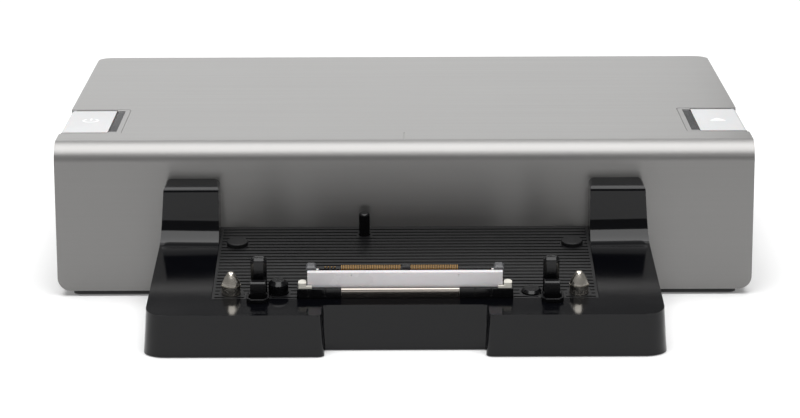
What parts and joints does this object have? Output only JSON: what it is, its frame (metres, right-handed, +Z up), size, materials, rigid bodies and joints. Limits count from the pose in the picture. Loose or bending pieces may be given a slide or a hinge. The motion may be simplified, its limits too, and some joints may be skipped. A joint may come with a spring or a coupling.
{
  "type": "laptop docking station",
  "caption": "Desktop docking station: wide flat silver housing with a tilted black deck in front that carries a connector, guides, hooks and an eject latch.",
  "frame": {"origin": "on the table, under the middle of the station's overall box", "axes": "+X to the right seen from the front, -Y to the front where the notebook docks, +Z up"},
  "size_m": [0.345, 0.331, 0.0775],
  "materials": {
    "silver_paint": "fine satin silver paint",
    "steel_sheet": "plain zinc-plated sheet",
    "black_plastic": "satin black",
    "black_rubber": "soft, matt",
    "grey_rubber": "soft, matt",
    "black_screw": "black oxide",
    "port_metal": "nickel plate",
    "board_green": "solder mask",
    "zinc_screw": "zinc plate",
    "chip_black": "moulded epoxy",
    "ribbon_grey": "flat ribbon",
    "silver_plastic": "satin silver coat",
    "button_white": "translucent white",
    "light_window": "smoked, ridged",
    "spring_wire": "drawn wire",
    "gloss_black": "piano black",
    "matte_black": "fine texture",
    "polished_steel": "polished",
    "hook_metal": "sintered steel",
    "bar_metal": "dark plated sheet",
    "ivory_plastic": "satin",
    "shutter_white": "satin lavender white",
    "grey_plastic": "satin",
    "gold_plate": "gold plate"
  },
  "bodies": {
    "chassis": {"housing_cover": "silver_paint", "side_panel_left": "silver_paint", "side_panel_right": "silver_paint", "rear_panel": "steel_sheet", "bottom_pan": "black_plastic", "rubber_feet": "black_rubber", "base_screws": "black_screw", "power_inlet": "black_plastic", "network_jack": "black_plastic", "usb_ports": "steel_sheet", "ps2_ports": "black_plastic", "vga_port": "port_metal", "dvi_port": "port_metal", "serial_port": "port_metal", "parallel_port": "port_metal", "audio_jacks": "black_plastic", "main_board": "board_green", "board_screws": "zinc_screw", "board_chips": "chip_black", "ribbon_cable": "ribbon_grey", "bay_cage": "steel_sheet", "button_bezels": "silver_plastic", "light_strips": "light_window", "switch_board": "board_green", "power_switch": "chip_black", "power_spring": "spring_wire", "eject_spring": "spring_wire", "deck_shell": "gloss_black", "ribbed_plate": "matte_black", "deck_pads": "grey_rubber", "dock_frame": "steel_sheet", "guide_cones": "polished_steel", "guide_posts": "black_plastic", "hook_collars": "black_plastic", "latch_spring": "spring_wire", "lever_pin": "zinc_screw", "lever_bracket": "steel_sheet", "left_plunger_spring": "spring_wire", "right_plunger_spring": "spring_wire", "spring_cups": "black_plastic", "pin_spring": "spring_wire", "docking_board": "board_green", "connector_base": "black_plastic", "connector_bar": "bar_metal", "end_sleeves": "ivory_plastic", "contact_tongue": "black_plastic", "gold_contacts": "gold_plate", "shutter_springs": "spring_wire"},
    "power_button_body": {"power_button": "button_white"},
    "eject_button_body": {"eject_button": "button_white"},
    "latch": {"latch_plate": "steel_sheet", "left_hook": "hook_metal", "right_hook": "hook_metal"},
    "eject_lever_body": {"eject_lever": "steel_sheet"},
    "shutter": {"connector_shutter": "shutter_white", "corner_guides": "grey_plastic"},
    "presence_pin_body": {"presence_pin": "black_plastic"},
    "left_plunger_body": {"left_plunger": "black_plastic"},
    "right_plunger_body": {"right_plunger": "black_plastic"},
    "bay_module_body": {"bay_module": "silver_plastic"}
  },
  "joints": [
    {"name": "power_button_press", "type": "slide", "parent": "chassis", "child": "power_button_body", "axis": [0, 0, -1], "range_m": [0, 0.0012], "stiffness_N_per_m": 250, "springref_m": -0.003, "deforming": ["power_spring"]},
    {"name": "eject_button_press", "type": "slide", "parent": "chassis", "child": "eject_button_body", "axis": [0, 0, -1], "range_m": [0, 0.003], "stiffness_N_per_m": 250, "springref_m": -0.003, "deforming": ["eject_spring"]},
    {"name": "latch_slide", "type": "slide", "parent": "chassis", "child": "latch", "axis": [0, -1, 0], "range_m": [0, 0.00425], "stiffness_N_per_m": 300, "springref_m": -0.004, "deforming": ["latch_spring"]},
    {"name": "eject_lever_turn", "type": "hinge", "parent": "chassis", "child": "eject_lever_body", "pos_m": [0.1525, -0.04, 0.04], "axis": [-1, 0, 0], "range_deg": [0, 7.2]},
    {"name": "shutter_press", "type": "slide", "parent": "chassis", "child": "shutter", "axis": [0, 0.1456, -0.9893], "range_m": [0, 0.005], "stiffness_N_per_m": 200, "springref_m": -0.004, "deforming": ["shutter_springs"]},
    {"name": "presence_pin_press", "type": "slide", "parent": "chassis", "child": "presence_pin_body", "axis": [0, 0.1456, -0.9893], "range_m": [0, 0.009], "stiffness_N_per_m": 60, "springref_m": -0.004, "deforming": ["pin_spring"]},
    {"name": "left_plunger_press", "type": "slide", "parent": "chassis", "child": "left_plunger_body", "axis": [0, 0.1456, -0.9893], "range_m": [0, 0.004], "stiffness_N_per_m": 150, "springref_m": -0.003, "deforming": ["left_plunger_spring"]},
    {"name": "right_plunger_press", "type": "slide", "parent": "chassis", "child": "right_plunger_body", "axis": [0, 0.1456, -0.9893], "range_m": [0, 0.0014], "stiffness_N_per_m": 150, "springref_m": -0.003, "deforming": ["right_plunger_spring"]},
    {"name": "bay_slide", "type": "slide", "parent": "chassis", "child": "bay_module_body", "axis": [-1, 0, 0], "range_m": [0, 0.12]}
  ],
  "couplings": [
    {"joint": "eject_button_press", "follows": "latch_slide", "ratio": 0.705},
    {"joint": "eject_lever_turn", "follows": "latch_slide", "rad_per_m": 29.3}
  ]
}
